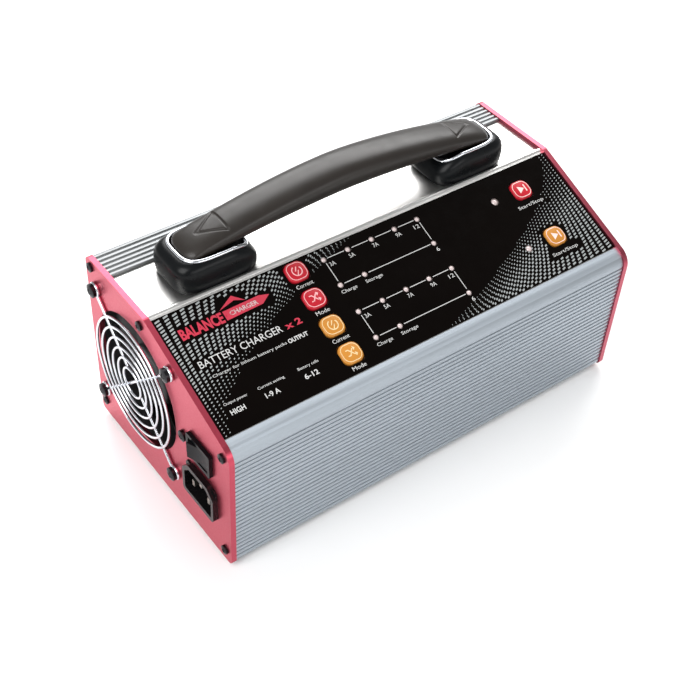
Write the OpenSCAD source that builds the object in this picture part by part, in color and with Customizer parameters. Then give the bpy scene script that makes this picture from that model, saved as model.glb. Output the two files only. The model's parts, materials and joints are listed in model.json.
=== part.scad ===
// Two-channel balance battery charger in a ribbed aluminium case with a carrying handle.
// X runs along the case: the fan and the mains inlet are on the -X end plate, the battery
// sockets on the +X one. The ribbed front wall faces -Y and the control panel slopes back above it.
// Z is up. The origin is the middle of the case's footprint, on the surface the feet stand on.

/* [Case] */
// Length over both end plates
case_length = 260; // [256:1:300]
// Depth of the end plates, front to back
case_depth = 132; // [132:1:140]
// Height of the end plates, without the feet
case_height = 110; // [109:1:114]
// Thickness of the end plates
end_plate_t = 3; // [2:0.5:4]
// Wall thickness of the side rails
wall_t = 3; // [2.5:0.5:3.5]
// How far the end plates stand out past the rails
plate_overhang = 0.8; // [0.4:0.2:1.2]
// Height of the rubber feet
feet_height = 3; // [2:0.5:6]

/* [Control panel] */
// Height of the front wall where the slope would meet it
slope_foot = 81.3; // [79:0.5:83]
// Distance from the front at which the slope reaches full height
slope_depth = 74.3; // [73:0.5:76]
// Spacing of the four setting keys up the slope
key_pitch = 16.9; // [16.5:0.1:17.1]
// Width of a key cap
key_w = 12.2; // [10:0.2:13]
// Height of a key cap up the slope
key_h = 11.4; // [10:0.2:12]
// How far a key travels when it is pressed
key_travel = 0.5; // [0.3:0.1:0.8]
// Spacing of the indicator lamps along a row
lamp_pitch = 15.2; // [14:0.2:16]

/* [Ribs] */
// Spacing of the grooves in the front and rear walls
rib_pitch = 2.9; // [2.6:0.1:3.2]
// Spacing of the grooves in the strip along the top's rear edge
top_rib_pitch = 3.2; // [3:0.1:3.3]

/* [Fan] */
// Outer size of the square fan
fan_size = 80; // [80:1:80]
// Hole spacing of the fan
fan_hole_pitch = 71.5; // [71:0.5:72]
// Thickness of the fan
fan_t = 25; // [25:1:26]
// Number of fan blades
blade_count = 7; // [5:1:9]

/* [Handle] */
// Length over both handle feet
handle_length = 210.5; // [206:0.5:214]
// Width of the grip in the middle
grip_w = 23.4; // [21:0.2:25]
// Height of the grip's top above the case top, in the middle
grip_top = 35.1; // [34:0.1:37]
// Clear height under the grip in the middle
grip_clear = 19; // [18:0.5:20]

/* [Hidden] */
$fn = 48;

// Ends of the rails, which the end plates close
rail_end = case_length / 2 - end_plate_t;
// Angle of the control panel above the horizontal
slope = atan((case_height - slope_foot) / slope_depth);
// Outer face of the front wall, the rear wall and the underside, from the case's own corner
front_face = plate_overhang;
rear_face = case_depth - plate_overhang;
under_face = plate_overhang;
// Top of the ribbed strip, and of the smooth top in front of it
strip_top = case_height - 0.6;
smooth_top = case_height - 2.4;
panel_t = 2.5;
// Where the smooth top ends and the ribbed strip begins, from the front
strip_front = 111;
// Panel levels, measured square to the slope from the end plate's edge
overlay_top = -1;
overlay_t = 0.5;
panel_under = -4;
board_top = -11.2;
board_t = 1.6;
// Run of the overlay up the slope
overlay_low = 9.5;
overlay_high = 78;
// Tapped channels in the rails, as [distance from front, height]
channels_front = [[5.4, 7.4], [6, 76]];
channel_top = [78.5, 103];
channels_rear = [[126.4, 9.6], [127, 105]];
channels = concat(channels_front, [channel_top], channels_rear);
channel_r = 3.3;
channel_bore_r = 1.25;
// Keys as [x, distance up the slope]
key_column_x = -47;
start_x = 98;
key_low = 20.5;
start_low = 30;
start_rise = 32.6;
keys = [
  [key_column_x, key_low + 3 * key_pitch], [key_column_x, key_low + 2 * key_pitch],
  [key_column_x, key_low + key_pitch], [key_column_x, key_low],
  [start_x, start_low + start_rise], [start_x, start_low]
];
// Lamps as [x, distance up the slope, radius]: two loops of eight, and one beside each start key
loop_x = 0.4;
loop_low = 22.3;
loop_rise = 16.2;
channel_rise = 33;
lamp_r = 1.6;
start_lamp_r = 2.2;
lamps = concat(
  [for (c = [0, 1], i = [-2:2]) [loop_x + i * lamp_pitch, loop_low + loop_rise + c * channel_rise, lamp_r]],
  [for (c = [0, 1], i = [-2, -1, 2]) [loop_x + i * lamp_pitch, loop_low + c * channel_rise, lamp_r]],
  [for (c = [0, 1]) [start_x - 19, start_low + c * start_rise, start_lamp_r]]
);
// Fan axis and mains fittings, as [distance from front, height]
fan_at = [87, 58];
fan_bore_r = 38.2;
inlet_at = [25.5, 34.5];
switch_at = [25.5, 60.5];
earth_at = [41.5, 59];
rocker_tilt = 11;
// Distance the rocker's pivot lies behind the end plate's outer face
rocker_inset = 2;
// Battery end: heights of the output and balance sockets, and their distance from the front
socket_d = 34;
output_h = [22, 54];
balance_h = [38, 70];
balance_ways = 13;
balance_pitch = 2.5;
contact_pitch = 13;
// Circuit boards above the base plate
pcb_low = 9;
pcb_top = pcb_low + board_t;
base_top = 2.8;
power_board_x = [-98, 14];
charge_board_x = [20, 108];
board_d = [14, 118];
// Handle: its middle along the case and from the front, and the size and place of its feet
handle_x = -1.8;
handle_d = 94;
foot_l = 48;
foot_h = 16.5;
foot_x = handle_length / 2 - foot_l / 2;
// Rim of the pocket that each foot holds the grip in: half its size, and how far it sits inwards
rim_half_l = 18.2;
rim_half_w = 13.4;
rim_shift = 1;
grip_half = foot_x + rim_half_l - rim_shift - 1.4;

// ---- Placing ----

// Turns a distance from the front and a height over the underside into y and z
function py(d) = d - case_depth / 2;
function pz(h) = h + feet_height;

// A point of the slope in [distance from front, height], from a run and a level square to it
function sp(run, level) = [
  run * cos(slope) - level * sin(slope),
  slope_foot + run * sin(slope) + level * cos(slope)
];

// Height of the slope's line at a level, at a distance from the front
function slope_h(d, level) = slope_foot + d * tan(slope) + level / cos(slope);

// Extrudes a section drawn as [distance from front, height] along X
module along(x_from, x_to)
  translate([x_from, py(0), pz(0)])
    rotate([90, 0, 90]) linear_extrude(x_to - x_from) children();

// Slope frame: x along the case, y up the slope, z square out of it
module on_slope() translate([0, py(0), pz(slope_foot)]) rotate([slope, 0, 0]) children();

// Puts children on the inlet plate's outer face: z points out, x towards the back, y up
module on_inlet_plate(at)
  translate([-case_length / 2, py(at[0]), pz(at[1])]) rotate([90, 0, -90]) mirror([1, 0, 0]) children();

// Puts children on the output plate's outer face: z points out, x towards the back, y up
module on_output_plate(at)
  translate([case_length / 2, py(at[0]), pz(at[1])]) rotate([90, 0, 90]) children();

// ---- Shared shapes ----

function unit(v) = v / norm(v);

// Arc of radius r that replaces the corner b between the points a and c
function corner_arc(a, b, c, r, n = 8) =
  let (
    u = unit(a - b),
    v = unit(c - b),
    half = acos(u * v) / 2,
    centre = b + unit(u + v) * r / sin(half),
    p = b + u * r / tan(half) - centre,
    q = b + v * r / tan(half) - centre,
    start = atan2(p[1], p[0]),
    sweep = (atan2(q[1], q[0]) - start + 540) % 360 - 180
  )
  [for (i = [0:n]) centre + r * [cos(start + sweep * i / n), sin(start + sweep * i / n)]];

// Polygon whose corners are rounded by their own radii, with 0 for a sharp one
function rounded(points, radii) = [
  for (i = [0:len(points) - 1])
    each (radii[i] == 0 ? [points[i]] : corner_arc(
      points[(i + len(points) - 1) % len(points)], points[i], points[(i + 1) % len(points)], radii[i]
    ))
];

module rounded_rect(w, h, r) {
  square([w - 2 * r, h], center = true);
  square([w, h - 2 * r], center = true);
  for (x = [-1, 1], y = [-1, 1]) translate([x * (w / 2 - r), y * (h / 2 - r)]) circle(r);
}

module slot(length, width) {
  square([length - width, width], center = true);
  for (x = [-1, 1]) translate([x * (length - width) / 2, 0]) circle(d = width, $fn = 24);
}

module block(size) translate([0, 0, size[2] / 2]) cube(size, center = true);

module ring(r_outer, r_inner, h) difference() {
  cylinder(r = r_outer, h = h);
  translate([0, 0, -1]) cylinder(r = r_inner, h = h + 2);
}

module torus(radius, wire_r) rotate_extrude() translate([radius, 0]) circle(wire_r, $fn = 24);

// Round bar from p to q
module bar(p, q, r) {
  d = q - p;
  translate(p) rotate([0, acos(d[2] / norm(d)), atan2(d[1], d[0])]) cylinder(r = r, h = norm(d));
}

// Closed skin through rings of equal size, capped at both ends. Each ring runs anticlockwise
// as seen from the next one.
module skin(rings) {
  n = len(rings[0]);
  last = len(rings) - 1;
  polyhedron(
    points = [for (r = rings) each r],
    faces = concat(
      [[for (k = [0:n - 1]) k]],
      [for (i = [0:last - 1], k = [0:n - 1])
        let (a = i * n + k, b = i * n + (k + 1) % n)
        each [[a, b + n, b], [a, a + n, b + n]]],
      [[for (k = [n - 1:-1:0]) last * n + k]]
    )
  );
}

// A route with its corners cut, twice over
function cut_corners(p, times = 2) = times == 0 ? p : cut_corners(concat(
  [p[0]],
  [for (i = [0:len(p) - 2]) each [p[i] * 0.75 + p[i + 1] * 0.25, p[i] * 0.25 + p[i + 1] * 0.75]],
  [p[len(p) - 1]]
), times - 1);

// Ring of points square to a route at its point i; across is a direction that the route never takes
function lead_ring(p, i, r, across, n = 8) =
  let (
    d = unit(p[min(i + 1, len(p) - 1)] - p[max(i - 1, 0)]),
    u = unit(cross(d, across)),
    v = cross(d, u)
  )
  [for (k = [0:n - 1]) p[i] + r * (cos(360 * k / n) * u + sin(360 * k / n) * v)];

// Insulated wire along a route
module lead(route, r, across) {
  p = cut_corners(route);
  skin([for (i = [0:len(p) - 1]) lead_ring(p, i, r, across)]);
}

// Pan-head screw with a cross recess: head above z = 0, shank below
module pan_screw(head_r, head_h, shank_r, shank_l) {
  difference() {
    intersection() {
      cylinder(r = head_r, h = head_h);
      translate([0, 0, head_h - 2.2 * head_r]) sphere(2.2 * head_r);
    }
    for (a = [0, 90]) rotate(a) translate([0, 0, head_h]) cube([head_r * 1.1, 0.6, head_h], center = true);
  }
  translate([0, 0, -shank_l]) cylinder(r = shank_r, h = shank_l + 0.2);
}

// ---- Case ----

// Outline of the end plates
module plate_outline() polygon(rounded(
  [[0, 0], [case_depth, 0], [case_depth, case_height], [slope_depth, case_height], [0, slope_foot]],
  [2.5, 2.5, 4, 5, 9.8]
));

module channel_rings(at) for (c = at) translate(c) circle(channel_r);

module channel_bores(at) for (c = at) translate(c) circle(channel_bore_r);

// Extrudes a section past both ends of the rails, to cut them
module through() along(-rail_end - 1, rail_end + 1) children();

// Grooves up a wall whose outer face is at d and whose top is at h
module wall_grooves(d, h) {
  first = 5;
  count = floor((h - 5.5 - first) / rib_pitch);
  for (i = [0:count]) translate([d, first + i * rib_pitch]) circle(0.75, $fn = 24);
}

module front_rail() color("silver") {
  lip = 4.5;
  flange_edge = 12;
  inner = front_face + wall_t;
  step = overlay_low - 0.5;
  outline = [
    [front_face, under_face], [front_face, slope_h(front_face, overlay_top)], sp(step, overlay_top),
    sp(step, panel_under - 0.1), sp(step + lip, panel_under - 0.1), sp(step + lip, panel_under - 1.8),
    [inner, slope_h(inner, panel_under - 1.8)], [inner, base_top + 2], [flange_edge, base_top + 2],
    [flange_edge, base_top], [inner, base_top], [inner, under_face]
  ];
  difference() {
    union() {
      along(-rail_end, rail_end) polygon(rounded(outline, [1.5, 9, 0, 0, 0, 0, 3, 1, 0, 0, 0, 0]));
      along(-rail_end, rail_end) channel_rings(channels_front);
    }
    through() channel_bores(channels_front);
    through() wall_grooves(front_face, slope_foot);
    for (x = base_screw_x) base_screw_hole(x, base_screw_d);
  }
}

module rear_rail() color("silver") {
  inner = rear_face - wall_t;
  lip_front = strip_front - 7;
  flange_edge = case_depth - 12;
  lip_top = smooth_top - panel_t - 0.1;
  outline = [
    [rear_face, under_face], [rear_face, strip_top], [strip_front + 0.2, strip_top],
    [strip_front + 0.2, lip_top], [lip_front, lip_top], [lip_front, lip_top - 2],
    [strip_front + 2, lip_top - 2], [strip_front + 2, strip_top - 3.2], [inner, strip_top - 3.2],
    [inner, base_top + 2], [flange_edge, base_top + 2], [flange_edge, base_top],
    [inner, base_top], [inner, under_face]
  ];
  difference() {
    union() {
      along(-rail_end, rail_end) polygon(rounded(outline, [1.5, 3, 0.6, 0, 0, 0, 0, 0, 0, 1, 0, 0, 0, 0]));
      along(-rail_end, rail_end) channel_rings(channels_rear);
    }
    through() channel_bores(channels_rear);
    through() wall_grooves(rear_face, strip_top);
    through() for (i = [0:4])
      translate([strip_front + 2.8 + i * top_rib_pitch, strip_top]) circle(0.95, $fn = 24);
    for (x = base_screw_x) base_screw_hole(x, case_depth - base_screw_d);
  }
}

// Bent panel: the slope, a bead along the bend, and the smooth top behind it
module top_panel() color("gainsboro") {
  recess = overlay_top - overlay_t;
  bead_r = 1.9;
  bead_d = 76.2;
  bend_d = (smooth_top - panel_t - slope_foot - panel_under / cos(slope)) / tan(slope);
  difference() {
    union() {
      along(-rail_end, rail_end) polygon([
        sp(overlay_low - 0.3, recess), sp(overlay_high + 3, recess), [bead_d + 1.4, smooth_top],
        [strip_front, smooth_top], [strip_front, smooth_top - panel_t],
        [bend_d, smooth_top - panel_t], sp(overlay_low - 0.3, panel_under)
      ]);
      along(-rail_end, rail_end) translate([bead_d, strip_top - bead_r]) circle(bead_r);
      along(-rail_end, rail_end) channel_rings([channel_top]);
    }
    through() channel_bores([channel_top]);
    on_slope() panel_openings();
    on_top() for (x = handle_screw_x) translate([x, 0, -5]) cylinder(r = handle_screw_r + 0.1, h = 8);
  }
}

// Holes for the keys and lamps, right through the panel
module panel_openings() {
  for (k = keys) translate([k[0], k[1], -8]) linear_extrude(12) rounded_rect(key_w + 0.6, key_h + 0.6, 3.3);
  for (l = lamps) translate([l[0], l[1], -8]) cylinder(r = l[2] + 0.15, h = 12, $fn = 24);
}

module panel_overlay() color("black") on_slope() difference() {
  translate([-rail_end + 0.3, overlay_low, overlay_top - overlay_t])
    cube([2 * rail_end - 0.6, overlay_high - overlay_low, overlay_t]);
  panel_openings();
}

base_screw_x = [-100, 0, 100];
base_screw_d = 8.4;
base_screw_at = [for (x = base_screw_x, d = [base_screw_d, case_depth - base_screw_d]) [x, d]];

module base_screw_hole(x, d) translate([x, py(d), pz(-1)]) cylinder(r = 1.6, h = 8, $fn = 24);

module base_plate() color("silver") {
  edge = front_face + wall_t + 0.2;
  difference() {
    along(-rail_end, rail_end) translate([edge, under_face])
      square([case_depth - 2 * edge, base_top - under_face]);
    for (p = base_screw_at) {
      base_screw_hole(p[0], p[1]);
      translate([p[0], py(p[1]), pz(under_face - 0.01)]) cylinder(r1 = 3, r2 = 1.6, h = 1.5, $fn = 24);
    }
    for (p = feet_at) translate([p[0], p[1], pz(-1)]) cylinder(r = 1.7, h = 8, $fn = 24);
  }
}

// Countersunk screws that hold the base plate up to the rails
module base_plate_screws() color("dimgray")
  for (p = base_screw_at) translate([p[0], py(p[1]), pz(under_face)]) {
    cylinder(r1 = 2.9, r2 = 1.5, h = 1.45, $fn = 24);
    cylinder(r = 1.5, h = 6, $fn = 24);
  }

feet_at = [for (x = [-1, 1], y = [-1, 1]) [x * (case_length / 2 - 24), y * (case_depth / 2 - 22)]];

module rubber_feet() color("black") for (p = feet_at) translate(p) difference() {
  cylinder(r1 = 6.4, r2 = 7.5, h = feet_height + under_face);
  translate([0, 0, -1]) cylinder(r = 3.4, h = 2.4, $fn = 24);
  cylinder(r = 1.7, h = 9, $fn = 24);
}

module feet_screws() color("dimgray") for (p = feet_at) translate([p[0], p[1], 1.4]) {
  translate([0, 0, -1.2]) cylinder(r = 2.9, h = 1.2, $fn = 24);
  translate([0, 0, -0.2]) cylinder(r = 1.5, h = feet_height + base_top + 1.2, $fn = 24);
}

// ---- End plates ----

module screw_holes() for (c = channels) translate(c) circle(1.7, $fn = 24);

module inlet_end_plate() color("indianred") along(-case_length / 2, -rail_end) difference() {
  plate_outline();
  translate(fan_at) {
    circle(fan_bore_r);
    for (x = [-1, 1], y = [-1, 1]) translate([x, y] * fan_hole_pitch / 2) circle(2.2, $fn = 24);
  }
  translate(inlet_at) rounded_rect(27.6, 20.6, 2);
  translate(switch_at) square([19.4, 13.2], center = true);
  translate(earth_at) circle(2.1, $fn = 24);
  screw_holes();
}

vent_at = [93, 58];

module output_end_plate() color("indianred") along(rail_end, case_length / 2) difference() {
  plate_outline();
  for (h = output_h) translate([socket_d, h]) rounded_rect(26.4, 12.4, 3);
  for (h = balance_h) translate([socket_d, h])
    square([balance_shell_w + 0.4, balance_shell_h + 0.4], center = true);
  for (x = [-1, 1], i = [-4:4]) translate(vent_at + [x * 14.5, i * 7.4]) slot(24, 3.4);
  screw_holes();
}

module end_plate_screws() color("black") for (c = channels) {
  on_inlet_plate(c) pan_screw(2.6, 1.7, 1.2, 11);
  on_output_plate(c) pan_screw(2.6, 1.7, 1.2, 11);
}

// ---- Keys, lamps and control board ----

// Key cap with a domed face, a flange under the panel and a stem into its switch
module key_cap(k) on_slope() translate([k[0], k[1], 0]) {
  crown = 0.4;
  dome_r = 36;
  flange_top = panel_under - 0.7;
  stem_foot = board_top + 1.1 + key_travel;
  intersection() {
    translate([0, 0, flange_top - 0.1])
      linear_extrude(crown - flange_top + 0.1) rounded_rect(key_w, key_h, 3);
    translate([0, 0, crown - dome_r]) sphere(dome_r, $fn = 96);
  }
  translate([0, 0, flange_top - 0.8]) linear_extrude(0.8) rounded_rect(key_w + 2, key_h + 1, 3);
  translate([0, 0, stem_foot]) cylinder(r = 1.5, h = flange_top - 0.4 - stem_foot, $fn = 24);
}

module current_key_1() color("crimson") key_cap(keys[0]);
module mode_key_1() color("crimson") key_cap(keys[1]);
module current_key_2() color("orange") key_cap(keys[2]);
module mode_key_2() color("orange") key_cap(keys[3]);
module start_key_1() color("crimson") key_cap(keys[4]);
module start_key_2() color("orange") key_cap(keys[5]);

module key_switches() color("dimgray") on_slope() for (k = keys)
  translate([k[0], k[1], board_top]) difference() {
    block([6, 6, 3.6]);
    translate([0, 0, 0.5]) cylinder(r = 1.8, h = 5, $fn = 24);
  }

module indicator_lamps() color("white") on_slope() for (l = lamps) translate([l[0], l[1], 0]) {
  tip = overlay_top + 0.3;
  rim = -6.4;
  translate([0, 0, tip - l[2]]) sphere(l[2], $fn = 24);
  translate([0, 0, rim]) cylinder(r = l[2], h = tip - l[2] - rim, $fn = 24);
  translate([0, 0, rim]) cylinder(r = l[2] + 0.4, h = 0.9, $fn = 24);
  for (x = [-1, 1]) translate([x * 1.1, 0, board_top]) block([0.5, 0.5, rim + 0.3 - board_top]);
}

control_board_x = [-62, 112];
control_board_run = [12, 76];
control_spacers = [[-57, 31], [-57, 62], [107, 18], [107, 72], [52, 46]];

module control_board() color("darkgreen") on_slope() difference() {
  translate([control_board_x[0], control_board_run[0], board_top - board_t])
    cube([control_board_x[1] - control_board_x[0], control_board_run[1] - control_board_run[0], board_t]);
  for (s = control_spacers) translate([s[0], s[1], board_top - 3]) cylinder(r = 1.6, h = 5, $fn = 24);
}

module control_chips() color("dimgray") on_slope() {
  chips = [[-20, 30, 10], [20, 62, 10], [62, 24, 7], [62, 62, 7]];
  for (c = chips) translate([c[0], c[1], board_top - board_t - 1.6]) block([c[2], c[2], 1.6]);
}

// Flat ribbon from under the control board down to the charge board
module control_ribbon() color("lightgray") {
  w = 16;
  t = 1.2;
  x = 84;
  top = pz(sp(30, board_top - board_t)[1]);
  y = py(sp(30, board_top - board_t)[0]);
  translate([x - w / 2, y - t / 2, pz(pcb_top)]) cube([w, t, top - pz(pcb_top) - 0.4]);
}

board_spacer_at = concat(
  [for (x = [power_board_x[0] + 5, power_board_x[1] - 5], d = [board_d[0] + 4, board_d[1] - 4]) [x, d]],
  [for (x = [charge_board_x[0] + 5, charge_board_x[1] - 5], d = [board_d[0] + 4, board_d[1] - 4]) [x, d]]
);

module board_spacers() color("goldenrod") {
  for (p = board_spacer_at) translate([p[0], py(p[1]), pz(base_top)]) ring(3, 1.5, pcb_low - base_top);
  on_slope() for (s = control_spacers)
    translate([s[0], s[1], board_top]) ring(2.8, 1.5, panel_under - board_top);
}

module board_screws() color("silver") {
  for (p = board_spacer_at) translate([p[0], py(p[1]), pz(pcb_top)]) pan_screw(2.8, 1.9, 1.45, 5);
  on_slope() for (s = control_spacers)
    translate([s[0], s[1], board_top - board_t]) mirror([0, 0, 1]) pan_screw(2.8, 1.9, 1.45, 5);
}

// ---- Handle ----

handle_screw_x = [for (s = [-1, 1], x = [-9, 9]) s * foot_x + x];
handle_screw_r = 2.4;

// Signed power, for rounded-box outlines
function spow(v, e) = sign(v) * pow(abs(v), e);

// The grip's half width, top and underside over the case top, at x from the middle.
// It arches between the feet, and its ends round off.
grip_arch_power = 1.67;
grip_top_fall = 14.7;
grip_under_fall = 6.8;
grip_end_l = 14;
function grip_end(x) = sqrt(max(0.02, 1 - pow(max(0, abs(x) - grip_half + grip_end_l) / grip_end_l, 2)));
function grip_plan_end(x) = max(0, abs(x) - foot_x + rim_shift) / (grip_half - foot_x + rim_shift);
function grip_half_w(x) = min(
  grip_w / 2 - 0.9 * pow(x / grip_half, 2),
  (rim_half_w - 1.2) * pow(max(0.01, 1 - pow(grip_plan_end(x), 3.6)), 1 / 3.6)
);
function grip_arch(x) = pow(abs(x) / grip_half, grip_arch_power);
function grip_high(x) = grip_top - grip_top_fall * grip_arch(x) - 3 * (1 - grip_end(x));
function grip_low(x) = grip_clear - grip_under_fall * grip_arch(x) + 1.5 * (1 - grip_end(x));

function grip_ring(x, n = 24) = [
  for (k = [0:n - 1]) let (a = 360 * k / n) [
    x,
    grip_half_w(x) * spow(cos(a), 0.8),
    (grip_high(x) + grip_low(x)) / 2 + (grip_high(x) - grip_low(x)) / 2 * spow(sin(a), 0.8)
  ]
];

grip_stations = 36;

module grip_shape() skin([
  for (i = [0:grip_stations]) grip_ring(-grip_half * cos(180 * i / grip_stations))
]);

module on_top() translate([handle_x, py(handle_d), pz(smooth_top)]) children();

module handle_grip() color("dimgray") on_top() grip_shape();

// Handle foot: a rounded shoe whose top falls towards the finger gap, with a pocket for the grip.
// Each level is [height, half length, half width, shift towards the gap], up the outside, over the
// rim and down into the pocket, whose floor is flat.
foot_levels = [
  [0, 22.8, 16, 0], [2.5, 23.7, 16.8, 0], [9, 24, 17, 0], [13, 23.4, 16.5, 0.1], [15.6, 21.6, 15.2, 0.4],
  [foot_h, rim_half_l + 0.9, rim_half_w + 0.8, rim_shift],
  [foot_h - 0.4, rim_half_l - 0.6, rim_half_w - 0.7, rim_shift]
];
pocket_floor = [11.4, rim_half_l - 1, rim_half_w - 1, rim_shift];
foot_square = 0.48;

// How much of its height the foot keeps at u, from -1 at the outer end to 1 at the gap
function foot_fall(u) = 1 - 0.45 * pow(max(0, (u - 0.3) / 0.7), 1.6);

function foot_ring(level, flat = false, n = 32) = [
  for (k = [0:n - 1]) let (a = 360 * k / n, x = level[3] + level[1] * spow(cos(a), foot_square)) [
    x,
    level[2] * spow(sin(a), foot_square),
    level[0] * (flat ? 1 : foot_fall(2 * x / foot_l))
  ]
];

// The foot for the -X end; the other end mirrors it
module foot_shape() difference() {
  skin(concat([for (level = foot_levels) foot_ring(level)], [foot_ring(pocket_floor, true)]));
  for (x = [-9, 9]) translate([x, 0, -1]) cylinder(r = handle_screw_r + 0.1, h = 20, $fn = 24);
}

module handle_foot_inlet_end() color("black") on_top() translate([-foot_x, 0, 0]) foot_shape();

module handle_foot_output_end() color("black") on_top()
  translate([foot_x, 0, 0]) mirror([1, 0, 0]) foot_shape();

// Chrome strip round each end of the grip, where it enters its foot, with its ends on the gap side
module handle_trims() color("white") on_top() for (m = [0, 1]) mirror([m, 0, 0]) trim_shape();

trim_r = 1;
trim_steps = 36;
trim_reach = 0.985;

module trim_shape() translate([-foot_x, 0, 0]) skin([for (i = [0:trim_steps]) trim_ring(i / trim_steps)]);

// Centre line of the trim as u goes from 0 to 1: along one side, round the outer end and back
function trim_path(u) =
  let (
    a = 360 * (u - 0.5) * trim_reach + 180,
    x = rim_shift + rim_half_l * spow(cos(a), 0.55)
  )
  [x, rim_half_w * spow(sin(a), 0.55), foot_h * foot_fall(2 * x / foot_l) + 0.3];

function trim_ring(u, n = 8) =
  let (
    d = unit(trim_path(min(1, u + 0.01)) - trim_path(max(0, u - 0.01))),
    side = unit(cross(d, [0, 0, 1]))
  )
  [for (k = [0:n - 1]) let (a = 360 * k / n)
    trim_path(u) + trim_r * (cos(a) * side + sin(a) * cross(d, side))];

// Screws up through the top panel and the feet into the grip
module handle_screws() color("silver") on_top() for (x = handle_screw_x)
  translate([x, 0, -panel_t]) mirror([0, 0, 1]) pan_screw(4.4, 2.4, handle_screw_r, 19);

// ---- Fan ----

// Fan frame of reference: z points out of the inlet plate along the fan's axis
module on_fan() on_inlet_plate(fan_at) children();

guard_wire_r = 1;
guard_ring_wire_r = 0.75;

module fan_guard() color("white") on_fan() {
  rings = 6;
  inner = 8.5;
  step = 5.5;
  ring_z = guard_wire_r * 2 + guard_ring_wire_r - 0.2;
  corner = fan_hole_pitch / 2;
  loop_r = 3.3;
  for (i = [0:rings - 1]) translate([0, 0, ring_z]) torus(inner + i * step, guard_ring_wire_r);
  for (x = [-1, 1], y = [-1, 1])
    translate([x * corner, y * corner, guard_wire_r]) torus(loop_r, guard_wire_r);
  reach = corner - loop_r / sqrt(2);
  near = inner / sqrt(2);
  translate([0, 0, guard_wire_r]) {
    bar([-reach, reach, 0], [reach, -reach, 0], guard_wire_r);
    for (s = [-1, 1]) bar(s * [near, near, 0], s * [reach, reach, 0], guard_wire_r);
  }
}

module fan_screws() color("black") on_fan()
  for (x = [-1, 1], y = [-1, 1]) translate([x, y] * fan_hole_pitch / 2)
    translate([0, 0, 2 * guard_wire_r]) pan_screw(3.8, 2.6, 1.9, 16);

// Fan frame, whose upper front corner is cut off along the panel's underside
module fan_frame() color("black") difference() {
  fan_housing();
  on_slope() translate([-rail_end - 1, 30, panel_under - 0.3]) cube([fan_t + 4, 40, 20]);
}

module fan_housing() on_fan() translate([0, 0, -end_plate_t - fan_t]) {
  corner_r = 4;
  flange_t = 4;
  hub_r = 18;
  difference() {
    union() {
      for (z = [0, fan_t - flange_t]) translate([0, 0, z]) linear_extrude(flange_t)
        rounded_rect(fan_size, fan_size, corner_r);
      cylinder(r = fan_size / 2 - 0.1, h = fan_t);
    }
    translate([0, 0, -1]) cylinder(r = fan_bore_r, h = fan_t + 2);
    for (x = [-1, 1], y = [-1, 1]) translate([x * fan_hole_pitch / 2, y * fan_hole_pitch / 2, -1])
      cylinder(r = 2.15, h = fan_t + 2, $fn = 24);
  }
  difference() {
    union() {
      cylinder(r = hub_r, h = 2);
      cylinder(r = 3.5, h = 13);
      for (a = [45:90:315]) rotate(a)
        translate([hub_r - 1, -1.5, 0]) cube([fan_bore_r - hub_r + 1.6, 3, 2.5]);
    }
    translate([0, 0, 0.6]) cylinder(r = 1.55, h = 20, $fn = 24);
  }
}

module fan_stator() color("peru") on_fan() translate([0, 0, -end_plate_t - fan_t]) difference() {
  union() {
    for (a = [0, 90]) rotate(a) translate([0, 0, 4]) block([20, 7, 7]);
    intersection() {
      translate([0, 0, 4]) ring(12.6, 9.6, 7);
      for (a = [0, 90]) rotate(a) block([26, 16, 20]);
    }
  }
  translate([0, 0, 3]) cylinder(r = 3.5, h = 10);
}

// Rotor: cup with its magnet ring, shaft and pitched blades
module fan_rotor() color("dimgray") on_fan() translate([0, 0, -end_plate_t - fan_t]) {
  cup_r = 17.4;
  cup_low = 3.4;
  cup_high = 21.5;
  blade_low = 4.5;
  difference() {
    translate([0, 0, cup_low]) cylinder(r = cup_r, h = cup_high - cup_low);
    translate([0, 0, cup_low - 1]) cylinder(r = 13.8, h = cup_high - cup_low - 0.6);
  }
  translate([0, 0, 1.4]) cylinder(r = 1.5, h = cup_high - 2, $fn = 24);
  intersection() {
    difference() {
      translate([0, 0, blade_low]) cylinder(r = fan_bore_r - 1, h = cup_high - blade_low);
      translate([0, 0, 2]) cylinder(r = cup_r - 0.6, h = 30);
    }
    for (i = [0:blade_count - 1]) rotate(i * 360 / blade_count) rotate([38, 0, 0])
      translate([16, -14, 12.6]) cube([24, 28, 1.5]);
  }
}

// ---- Mains inlet and switch ----

// Inlet recess: earth pin at the top, between the cut corners
module inlet_recess() polygon(rounded(
  [[-12.2, -8.4], [12.2, -8.4], [12.2, 4], [7.8, 8.4], [-7.8, 8.4], [-12.2, 4]], [1.5, 1.5, 1, 1, 1, 1]
));

module inlet_flange() polygon(rounded(
  [[-14.2, -11], [14.2, -11], [14.2, 5.6], [8.8, 11], [-8.8, 11], [-14.2, 5.6]],
  [2.5, 2.5, 2.5, 2.5, 2.5, 2.5]
));

inlet_proud = 3;
inlet_pins = [[-7, -2], [7, -2], [0, 3.5]];

module mains_inlet() color("black") on_inlet_plate(inlet_at) difference() {
  union() {
    linear_extrude(inlet_proud) inlet_flange();
    translate([0, 0, -16]) linear_extrude(17) rounded_rect(27.2, 20.2, 2);
  }
  translate([0, 0, -12]) linear_extrude(30) inlet_recess();
  for (p = inlet_pins) translate([p[0], p[1], -20]) block([2.1, 4.1, 10]);
}

switch_tabs = [-5.5, 5.5];

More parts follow.
